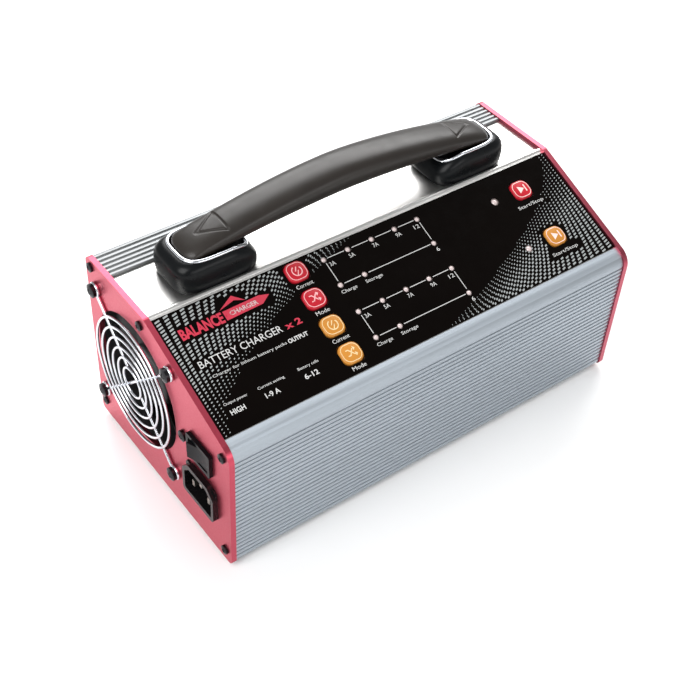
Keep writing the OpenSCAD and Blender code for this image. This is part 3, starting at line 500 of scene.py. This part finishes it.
def grip_stations():
    """Places along the grip, close together where the arrow marks are and at the ends."""
    middle = [2 * i for i in range(MARK_START // 2)]
    marked = [MARK_START + MARK_STEP * i for i in range(MARK_STATIONS)]
    ends = [MARK_END + (GRIP_HALF - MARK_END) * math.sin(math.pi / 2 * i / 14) for i in range(1, 15)]
    half = middle + marked + ends
    return [-x for x in reversed(half[1:])] + half


def add_grip():
    rings = []
    for x in grip_stations():
        ring = []
        for k in range(GRIP_SIDES):
            angle = 2 * math.pi * k / GRIP_SIDES
            point = grip_point(x, angle)
            if math.sin(angle) > 0.2 and abs(x) > MARK_START - 3:
                point.z -= groove(x, point.y)
            ring.append(point)
        rings.append(ring)
    add_piece("handle_grip_moulding", skin(rings), HANDLE, "grip_grey", replaces=["handle_grip"], sharp=60)


# Levels of a handle foot: height, half length, half width and shift towards the finger gap
FOOT_LEVELS = [
    (0, 22.8, 16, 0), (0.6, 23.1, 16.25, 0), (2.5, 23.7, 16.8, 0), (5.5, 23.95, 17, 0), (9, 24, 17, 0),
    (11.2, 23.8, 16.85, 0.04), (13, 23.4, 16.5, 0.1), (14.4, 22.6, 15.95, 0.22), (15.4, 21.7, 15.25, 0.4),
    (16.1, 20.6, 14.6, 0.7), (16.45, 19.6, 14.3, 0.9),
    (FOOT_H, RIM_HALF_L + 0.9, RIM_HALF_W + 0.8, RIM_SHIFT), (16.45, 18.5, 13.5, RIM_SHIFT),
    (16.1, 17.6, 12.7, RIM_SHIFT), (15.6, 17.4, 12.5, RIM_SHIFT),
]
POCKET_FLOOR = 11.4
FOOT_SQUARE = 0.48
FALL_START = 0.3
FALL_SHARE = 0.45
FALL_POWER = 1.6


def foot_fall(u):
    """Share of its height that the foot keeps at u, from -1 at its outer end to 1 at the finger gap."""
    return 1 - FALL_SHARE * max(0, (u - FALL_START) / (1 - FALL_START)) ** FALL_POWER


def foot_ring(level, side, count=112):
    height, half_l, half_w, shift = level
    ring = []
    for k in range(count):
        a = 2 * math.pi * k / count * side
        x = shift + half_l * signed_power(math.cos(a), FOOT_SQUARE)
        y = half_w * signed_power(math.sin(a), FOOT_SQUARE)
        ring.append(Vector((side * (x - FOOT_X), y, height * foot_fall(2 * x / FOOT_L))))
    return ring


def trim_point(u, side):
    """Point of the strip on a foot's rim, with u from 0 to 1 along it."""
    a = 2 * math.pi * (u - 0.5) * TRIM_REACH + math.pi
    x = RIM_SHIFT + RIM_HALF_L * signed_power(math.cos(a), RIM_SQUARE)
    y = RIM_HALF_W * signed_power(math.sin(a), RIM_SQUARE)
    return Vector((side * (x - FOOT_X), y, FOOT_H * foot_fall(2 * x / FOOT_L) + TRIM_LIFT))


def add_handle_ends():
    for side, end in ((1, "inlet_end"), (-1, "output_end")):
        rings = [foot_ring(level, side) for level in FOOT_LEVELS]
        shape = skin(rings + [[Vector((p.x, p.y, POCKET_FLOOR)) for p in rings[-1]]])
        add_piece("handle_foot_" + end + "_moulding", shape, HANDLE, "foot_black",
                  replaces=["handle_foot_" + end], sharp=60)
    trims = []
    for side in (1, -1):
        trims.append(sweep([trim_point(i / TRIM_STEPS, side) for i in range(TRIM_STEPS + 1)], TRIM_R, 16))
    add_piece("handle_trim_strips", joined(trims), HANDLE, "chrome_trim", replaces=["handle_trims"], sharp=60)


# ---- Keys ----

# Keys: cap size, and levels along the panel's outward direction
KEY_W = 12.2
KEY_H = 11.4
KEY_CORNER = 4.3
KEY_TOP = 0.4
KEY_EDGE = 0.9
KEY_DOME_R = 36
PANEL_UNDER = -4.0
FLANGE_TOP = PANEL_UNDER - 0.7
FLANGE_T = 0.8
FLANGE_WIDER = 2
BOARD_TOP = -11.2
STEM_FOOT = BOARD_TOP + 1.6
STEM_R = 1.5
KEY_PLACES = {
    "current_key_1": (-47, 71.2), "mode_key_1": (-47, 54.3), "current_key_2": (-47, 37.4),
    "mode_key_2": (-47, 20.5), "start_key_1": (98, 62.6), "start_key_2": (98, 30),
}


def key_surface(x, y):
    return KEY_TOP - (x * x + y * y) / (2 * KEY_DOME_R)


def key_cap(x, run):
    """Cap with a rounded edge and a slightly domed top, with its flange and stem below."""
    rings = []
    for wider, z in ((FLANGE_WIDER, FLANGE_TOP - FLANGE_T), (FLANGE_WIDER, FLANGE_TOP), (0, FLANGE_TOP)):
        outline = rounded_outline(KEY_W + wider, KEY_H + wider / 2, KEY_CORNER)
        rings.append([Vector((px + x, py + run, z)) for px, py in outline])
    for k in range(7):
        a = math.pi / 2 * k / 6
        inset = KEY_EDGE * (1 - math.cos(a))
        corner = KEY_CORNER - inset * 0.8
        outline = rounded_outline(KEY_W - 2 * inset, KEY_H - 2 * inset, corner)
        below = KEY_EDGE * (1 - math.sin(a))
        rings.append([Vector((px + x, py + run, key_surface(px, py) - below)) for px, py in outline])
    for inset in (1.6, 2.4, 3.4, 4.4):
        outline = rounded_outline(KEY_W - 2 * inset, KEY_H - 2 * inset, KEY_CORNER - inset * 0.8)
        rings.append([Vector((px + x, py + run, key_surface(px, py))) for px, py in outline])
    stem = [(x + STEM_R * math.cos(a), run + STEM_R * math.sin(a)) for a in
            [2 * math.pi * k / 24 for k in range(24)]]
    return joined([skin(rings), slab(stem, STEM_FOOT, FLANGE_TOP - FLANGE_T / 2)])


ICON_LINE = 0.6
RIM_LINE = 0.4


def stroke(points, width, closed=False):
    """Thin raised line through points on a key."""
    return sweep([Vector(p) for p in points], width / 2, 6, Vector((0, 0, 1)), closed, 0.25)


def on_key(points, x, run, lift=0.02):
    return [(px + x, py + run, key_surface(px, py) + lift) for px, py in points]


def arc_points(radius, start, end, count):
    angles = [math.radians(start + (end - start) * k / (count - 1)) for k in range(count)]
    return [(radius * math.cos(a), radius * math.sin(a)) for a in angles]


def current_icon(x, run):
    """Open ring with a bolt across it."""
    bolt = [(0.6, 2.3), (-0.9, -0.1), (0.8, 0.1), (-0.6, -2.3)]
    ring = arc_points(2.7, 115, 400, 26)
    return [stroke(on_key(line, x, run), ICON_LINE) for line in (ring, bolt)]


def mode_icon(x, run):
    """Two crossing arrows."""
    strokes = []
    for s in (1, -1):
        strokes.append([(-2.6, -1.6 * s), (-1.2, -1.6 * s), (1.2, 1.6 * s), (2.6, 1.6 * s)])
        strokes.append([(1.7, 1.6 * s + 0.9), (2.7, 1.6 * s), (1.7, 1.6 * s - 0.9)])
    return [stroke(on_key(line, x, run), ICON_LINE) for line in strokes]


def start_icon(x, run):
    """Filled triangle and bar."""
    triangle = [(-2.2, -2.3), (1.5, 0), (-2.2, 2.3)]
    bar = [(2, -2.2), (2.8, -2.2), (2.8, 2.2), (2, 2.2)]
    shapes = []
    for outline in (triangle, bar):
        shapes.append(skin([[Vector(p) for p in on_key(outline, x, run, lift)] for lift in (-0.1, 0.12)]))
    return shapes


def add_keys():
    icons = {"current": current_icon, "mode": mode_icon, "start": start_icon}
    for node, (x, run) in KEY_PLACES.items():
        slot = "key_red" if node.endswith("1") else "key_amber"
        add_piece(node + "_cap", key_cap(x, run), PANEL, slot, body=node, replaces=[node], sharp=50)
        rim = rounded_outline(KEY_W - 2.1, KEY_H - 2.1, KEY_CORNER - 0.8)
        marks = [stroke(on_key(rim, x, run), RIM_LINE, closed=True)] + icons[node.split("_")[0]](x, run)
        shade = "key_print" if node.startswith("start") else slot.replace("key", "key_print")
        add_piece(node + "_icon", joined(marks), PANEL, slot, shade, body=node)


# ---- Panel printing ----

INK_T = 0.05
INK = OVERLAY_TOP + INK_T


def lettering(text, x, run, width, height, bold=0.0):
    """Flat sheet of letters that fill a box on the panel from its lower left corner."""
    data = bpy.data.curves.new("lettering", "FONT")
    data.body = text
    data.offset = bold
    data.resolution_u = 3
    maker = bpy.data.objects.new("lettering", data)
    bpy.context.scene.collection.objects.link(maker)
    bpy.context.view_layer.update()
    flat = bpy.data.meshes.new_from_object(maker.evaluated_get(bpy.context.evaluated_depsgraph_get()))
    bpy.data.objects.remove(maker)
    bpy.data.curves.remove(data)
    low_x, high_x = min(v.co.x for v in flat.vertices), max(v.co.x for v in flat.vertices)
    low_y, high_y = min(v.co.y for v in flat.vertices), max(v.co.y for v in flat.vertices)
    sx, sy = width / (high_x - low_x), height / (high_y - low_y)
    points = [Vector((x + (v.co.x - low_x) * sx, run + (v.co.y - low_y) * sy, INK)) for v in flat.vertices]
    faces = [tuple(p.vertices) for p in flat.polygons]
    bpy.data.meshes.remove(flat)
    return points, faces


def thickened(shape, depth):
    """Gives a flat sheet of faces a thickness downwards."""
    work = bmesh.new()
    verts = [work.verts.new(p) for p in shape[0]]
    for face in shape[1]:
        work.faces.new([verts[i] for i in face])
    bmesh.ops.remove_doubles(work, verts=work.verts, dist=1e-4)
    work.normal_update()
    for face in work.faces:
        if face.normal.z < 0:
            face.normal_flip()
    grown = bmesh.ops.extrude_face_region(work, geom=list(work.faces), use_keep_orig=True)
    for element in grown["geom"]:
        if isinstance(element, bmesh.types.BMVert):
            element.co.z -= depth
    bmesh.ops.recalc_face_normals(work, faces=work.faces)
    work.verts.index_update()
    points = [v.co.copy() for v in work.verts]
    faces = [tuple(v.index for v in f.verts) for f in work.faces]
    work.free()
    return points, faces


def bar_print(x, run, width, height):
    """Flat printed bar from its lower left corner."""
    corners = [(x, run), (x + width, run), (x + width, run + height), (x, run + height)]
    return slab(corners, OVERLAY_TOP - INK_T, INK)


# Lamps of the two channels: middle of the loops, pitch, lower row, rise to the upper row and to the next
# channel, and the gap that each line leaves round a lamp
LOOP_X = 0.4
LAMP_PITCH = 15.2
LOOP_LOW = 22.3
LOOP_RISE = 16.2
CHANNEL_RISE = 33
LAMP_GAP = 2.4
LINE_W = 0.4


def loop_lines():
    """Thin lines that join the lamps of each channel into a loop."""
    lines = []
    left, right = LOOP_X - 2 * LAMP_PITCH, LOOP_X + 2 * LAMP_PITCH
    for channel in (0, 1):
        low = LOOP_LOW + channel * CHANNEL_RISE
        high = low + LOOP_RISE
        between = LAMP_PITCH - 2 * LAMP_GAP
        for i in range(-2, 2):
            lines.append(bar_print(LOOP_X + i * LAMP_PITCH + LAMP_GAP, high - LINE_W / 2, between, LINE_W))
        lines.append(bar_print(left + LAMP_GAP, low - LINE_W / 2, between, LINE_W))
        long_run = 3 * LAMP_PITCH - 2 * LAMP_GAP
        lines.append(bar_print(left + LAMP_PITCH + LAMP_GAP, low - LINE_W / 2, long_run, LINE_W))
        for x in (left, right):
            lines.append(bar_print(x - LINE_W / 2, low + LAMP_GAP, LINE_W, LOOP_RISE - 2 * LAMP_GAP))
    return lines


def white_lettering():
    """White words on the panel, listed as [text, left, run, width, height, boldness]."""
    words = [
        ("BATTERY CHARGER", -118, 45.4, 47, 3.9, 0.0),
        ("Charger for lithium battery packs", -115, 38.3, 42, 2.0, 0.0),
        ("OUTPUT", -72, 38.3, 11.5, 2.4, 0.03),
        ("CHARGER", -90, 63.9, 16, 2.5, 0.02),
        ("Output power", -118, 23.4, 13, 1.9, 0.0), ("HIGH", -117, 18.2, 8, 2.8, 0.02),
        ("Current setting", -99, 23.4, 15, 1.9, 0.0), ("1-9 A", -97.5, 18.2, 8, 2.8, 0.02),
        ("Battery cells", -76, 23.4, 12, 1.9, 0.0), ("6-12", -75, 18.2, 8, 2.8, 0.02),
    ]
    captions = {"current": ("Current", 10, 9.1, 2.2), "mode": ("Mode", 8, 9.1, 2.2)}
    captions["start"] = ("Start/Stop", 18, 11.2, 2.6)
    for node, (x, run) in KEY_PLACES.items():
        word, width, below, height = captions[node.split("_")[0]]
        words.append((word, x - width / 2, run - below, width, height, 0.0))
    for channel in (0, 1):
        low = LOOP_LOW + channel * CHANNEL_RISE
        for i, word in zip(range(-2, 3), ("3A", "5A", "7A", "9A", "12")):
            off_line = {-2: 3.0, 2: -3.2}.get(i, 0)
            left = LOOP_X + i * LAMP_PITCH - 1.6 + off_line
            words.append((word, left, low + LOOP_RISE - 5.0, 3.4, 2.3, 0.0))
        words.append(("Charge", LOOP_X - 2 * LAMP_PITCH - 2, low - 5.6, 9.5, 2.5, 0.0))
        words.append(("Storage", LOOP_X - LAMP_PITCH - 2, low - 5.6, 10.5, 2.5, 0.0))
        words.append(("6", LOOP_X + 2 * LAMP_PITCH - 1, low - 5.2, 1.8, 2.4, 0.0))
    return [thickened(lettering(*word), INK_T) for word in words]


# Halftone: distance of its edge from the panel's middle, pitch of its rows, slant, columns, dash width as a
# share of the column's, dash height, and the depth over which the dashes grow to full size
HALFTONE_END = 125.8
HALFTONE_ROW = 1.9
HALFTONE_SLANT = 0.3
HALFTONE_COLUMNS = 46
DASH_W = 0.58
DASH_H = 0.95
FADE_DEPTH = 30
SMALLEST_FADE = 0.42


def halftone_column(i):
    """Distance of a column of dashes from the panel's end, where the pattern is widest."""
    return 1.6 + 150 * (1 - math.exp(-i / 30))


def halftone_reach(share):
    """How far the pattern reaches from the panel's end, at a share of the run from its narrow side."""
    return 4 + 113.5 * share ** 1.8


def halftone_squeeze(share):
    """How much the columns close up towards the narrow side."""
    return 0.52 + 0.48 * share ** 2.2


def halftone_dashes():
    """Columns of silver dashes that fade into the black: [distance from end, share of run, width, height]."""
    dashes = []
    run = OVERLAY_HIGH - OVERLAY_LOW
    for column in range(HALFTONE_COLUMNS):
        spacing = halftone_column(column + 1) - halftone_column(column)
        rows = int(run / HALFTONE_ROW)
        for row in range(rows):
            share = (row + 0.3 + 0.4 * (column % 2)) / rows
            inwards = halftone_column(column) * halftone_squeeze(share)
            depth = halftone_reach(share) - inwards
            if depth < 0.5:
                continue
            fade = SMALLEST_FADE + (1 - SMALLEST_FADE) * min(1, depth / FADE_DEPTH)
            dashes.append((inwards, share, DASH_W * spacing * halftone_squeeze(share) * fade, DASH_H * fade))
    return dashes


# Boxes that the dashes leave free, as [low x, high x, low run, high run]
CLEAR_BOXES = [
    (-119, -65, 61, 69), (-95, -78, 67, 74.5), (-119, -58, 44.6, 50.1), (-116, -60, 37.6, 41.2),
    (-119, -104, 17.6, 25.9), (86.8, 109.2, 17.6, 22.6), (86.8, 109.2, 50.2, 55.2),
]


def is_clear(x, run):
    """Whether a dash at a place keeps off the keys and the lettering."""
    off_keys = all(abs(x - kx) > 8 or abs(run - kr) > 7.5 for kx, kr in KEY_PLACES.values())
    return off_keys and not any(a < x < b and c < run < d for a, b, c, d in CLEAR_BOXES)


def halftone():
    """The same pattern at both ends of the panel, one turned half round from the other."""
    dashes = []
    for side in (-1, 1):
        for inwards, share, width, height in halftone_dashes():
            x = side * (HALFTONE_END - inwards)
            rise = share if side < 0 else 1 - share
            run = OVERLAY_LOW + 0.5 + rise * (OVERLAY_HIGH - OVERLAY_LOW - 1)
            if is_clear(x, run):
                slant = HALFTONE_SLANT * height
                w, h = width / 2, height / 2
                corners = [(-w, -h - slant), (w, -h + slant), (w, h + slant), (-w, h - slant)]
                outline = [(x + dx, run + dy) for dx, dy in corners]
                dashes.append(slab(outline, OVERLAY_TOP - INK_T, INK - 0.02))
    return dashes


def red_mark():
    """Tapered red stripe with a chevron over it, and a word before it."""
    stripe = [(-93, 62.4), (-72, 63.0), (-66.5, 66.4), (-72, 68.0), (-93, 67.6)]
    chevron = [(-94, 68.6), (-84.5, 73.6), (-79, 68.6), (-84.5, 70.8)]
    shapes = [slab(outline, OVERLAY_TOP - INK_T, INK) for outline in (stripe, chevron)]
    shapes.append(thickened(lettering("BALANCE", -118, 61.8, 24, 6.2, 0.04), INK_T))
    shapes.append(thickened(lettering("x 2", -69, 45.4, 9.5, 3.6, 0.03), INK_T))
    return shapes


def add_panel_printing():
    prints = {"white": white_lettering() + loop_lines(), "silver": halftone(), "red": red_mark()}
    for ink, shapes in prints.items():
        add_piece("panel_print_" + ink, joined(shapes), PANEL, "overlay_black", "ink_" + ink)


# ---- Fan ----

FAN_D = 87
FAN_H = 58
FAN_BORE_R = 38.2
FAN_BACK = -28
GUARD_WIRE_R = 1.0
GUARD_RING_R = 0.75
GUARD_RINGS = 6
GUARD_INNER_R = 8.5
GUARD_RING_STEP = 5.5
GUARD_EYE_R = 3.3
FAN_CORNER = 71.5 / 2
FAN_BLADES = 7
# Fan rotor: its cup, and its blades' pitch, chord and sweep at the cup and how they change towards the tip
CUP_R = 17.4
CUP_SKIRT_R = 13.8
CUP_LOW = 3.4
CUP_HIGH = 21.5
CUP_ROUND = 1.6
BLADE_LOW = 4.5
BLADE_PITCH = 52
BLADE_PITCH_FALL = 24
BLADE_CHORD = 19
BLADE_CHORD_GROWTH = 8
BLADE_SWEEP = 14
BLADE_HALF_T = 0.85
BLADE_CAMBER = 1.6
FAN = on_inlet_plate(FAN_D, FAN_H)


def add_fan_guard():
    ring_level = 2 * GUARD_WIRE_R + GUARD_RING_R - 0.2
    reach = FAN_CORNER - GUARD_EYE_R / math.sqrt(2)
    near = GUARD_INNER_R / math.sqrt(2)
    parts = []
    for i in range(GUARD_RINGS):
        ring = circle_path(GUARD_INNER_R + i * GUARD_RING_STEP, ring_level)
        parts.append(sweep(ring, GUARD_RING_R, 14, loop=True))
    for sx in (-1, 1):
        for sy in (-1, 1):
            eye = circle_path(GUARD_EYE_R, GUARD_WIRE_R, 48, (sx * FAN_CORNER, sy * FAN_CORNER))
            parts.append(sweep(eye, GUARD_WIRE_R, 14, loop=True))
    runs = [((reach, reach), (-reach, -reach))]
    runs += [((s * near, -s * near), (s * reach, -s * reach)) for s in (-1, 1)]
    for start, end in runs:
        path = [Vector((*start, GUARD_WIRE_R)).lerp(Vector((*end, GUARD_WIRE_R)), k / 8) for k in range(9)]
        parts.append(sweep(path, GUARD_WIRE_R, 16))
    add_piece("fan_guard_wires", joined(parts), FAN, "chrome_trim", replaces=["fan_guard"], sharp=60)


def fan_blade(turn):
    """Twisted, swept blade: rings of an aerofoil section from the cup to the tip."""
    tip_r = FAN_BORE_R - 1
    root_r = CUP_R - 0.4
    stations, count = 14, 20
    rings = []
    for i in range(stations + 1):
        share = i / stations
        r = root_r + (tip_r - root_r) * share
        pitch = math.radians(BLADE_PITCH - BLADE_PITCH_FALL * share)
        chord = BLADE_CHORD + BLADE_CHORD_GROWTH * share
        sweep_back = math.radians(-BLADE_SWEEP * share)
        ring = []
        for k in range(count):
            a = 2 * math.pi * k / count
            along = chord / 2 * math.cos(a)
            over = BLADE_HALF_T * math.sin(a) * (1.15 - 0.45 * math.cos(a))
            over += BLADE_CAMBER * (1 - (2 * along / chord) ** 2)
            across = along * math.cos(pitch) - over * math.sin(pitch)
            level = (BLADE_LOW + CUP_HIGH) / 2 + along * math.sin(pitch) + over * math.cos(pitch)
            level = max(BLADE_LOW, min(CUP_HIGH, level))
            angle = turn + sweep_back + across / r
            ring.append(Vector((r * math.cos(angle), r * math.sin(angle), level)))
        rings.append(ring)
    return skin(rings)


def add_fan_rotor():
    profile = [(1.4, CUP_HIGH - CUP_ROUND - 0.1), (CUP_SKIRT_R, CUP_HIGH - CUP_ROUND)]
    profile += [(CUP_SKIRT_R, CUP_LOW), (CUP_R, CUP_LOW), (CUP_R, CUP_HIGH - CUP_ROUND)]
    for k in range(1, 7):
        a = math.pi / 2 * k / 6
        profile.append((CUP_R - CUP_ROUND * (1 - math.cos(a)), CUP_HIGH - CUP_ROUND * (1 - math.sin(a))))
    profile += [(12, CUP_HIGH), (11.6, CUP_HIGH - 0.3), (1.2, CUP_HIGH - 0.3)]
    parts = [skin([circle_path(r, z, 72) for r, z in profile])]
    parts += [fan_blade(2 * math.pi * k / FAN_BLADES) for k in range(FAN_BLADES)]
    place = FAN @ Matrix.Translation((0, 0, FAN_BACK))
    add_piece("fan_rotor_blades", joined(parts), place, "fan_black", body="fan_rotor",
              replaces=["fan_rotor"], sharp=40)


# ---- Softened hard parts ----


def add_softened_parts():
    softened("inlet_end_plate", 0.35, "end_plate_red")
    softened("output_end_plate", 0.35, "end_plate_red", "output_plate_red")
    softened("mains_inlet", 0.3, "fitting_black")
    softened("power_switch_body", 0.3, "fitting_black", "switch_black")
    softened("power_switch_rocker", 0.3, "fitting_black", "switch_black", body="power_switch_rocker")
    softened("output_sockets", 0.3, "fitting_black")


# ---- Stage ----

# Half the floor's width, in metres
FLOOR_REACH = 4.0


def add_stage():
    mesh = bpy.data.meshes.new("floor")
    corners = [(x * FLOOR_REACH, y * FLOOR_REACH, 0) for x, y in ((-1, -1), (1, -1), (1, 1), (-1, 1))]
    mesh.from_pydata(corners, [], [(0, 1, 2, 3)])
    floor = bpy.data.objects.new("floor", mesh)
    bpy.context.scene.collection.objects.link(floor)
    paper = Finish("floor_paper", (0.93, 0.93, 0.93), 0.9).uneven(90, 0.004)
    mesh.materials.append(paper.material)


def add_light(name, place, aim, size, power):
    """Rectangular white light, placed and sized in metres."""
    data = bpy.data.lights.new(name, "AREA")
    data.shape = "RECTANGLE"
    data.size, data.size_y = size
    data.energy = power
    light = bpy.data.objects.new(name, data)
    light.location = place
    light.rotation_euler = (Vector(aim) - Vector(place)).to_track_quat("-Z", "Y").to_euler()
    bpy.context.scene.collection.objects.link(light)


def add_lighting():
    world = bpy.data.worlds.new("studio")
    world.use_nodes = True
    world.node_tree.nodes["Background"].inputs["Color"].default_value = (1, 1, 1, 1)
    world.node_tree.nodes["Background"].inputs["Strength"].default_value = 0.42
    bpy.context.scene.world = world
    middle = (0, 0, 0.05)
    add_light("rear_box", (0.62, 0.85, 1.0), middle, (1.5, 0.9), 26)
    add_light("left_box", (-1.1, -0.3, 1.1), middle, (1.1, 1.1), 22)
    add_light("front_box", (0.2, -1.5, 0.55), middle, (1.2, 0.5), 6)
    bpy.context.scene.view_settings.view_transform = "Standard"


add_camera()
paint_cad_nodes()
add_grip()
add_handle_ends()
add_keys()
add_panel_printing()
add_fan_guard()
add_fan_rotor()
add_softened_parts()
add_stage()
add_lighting()
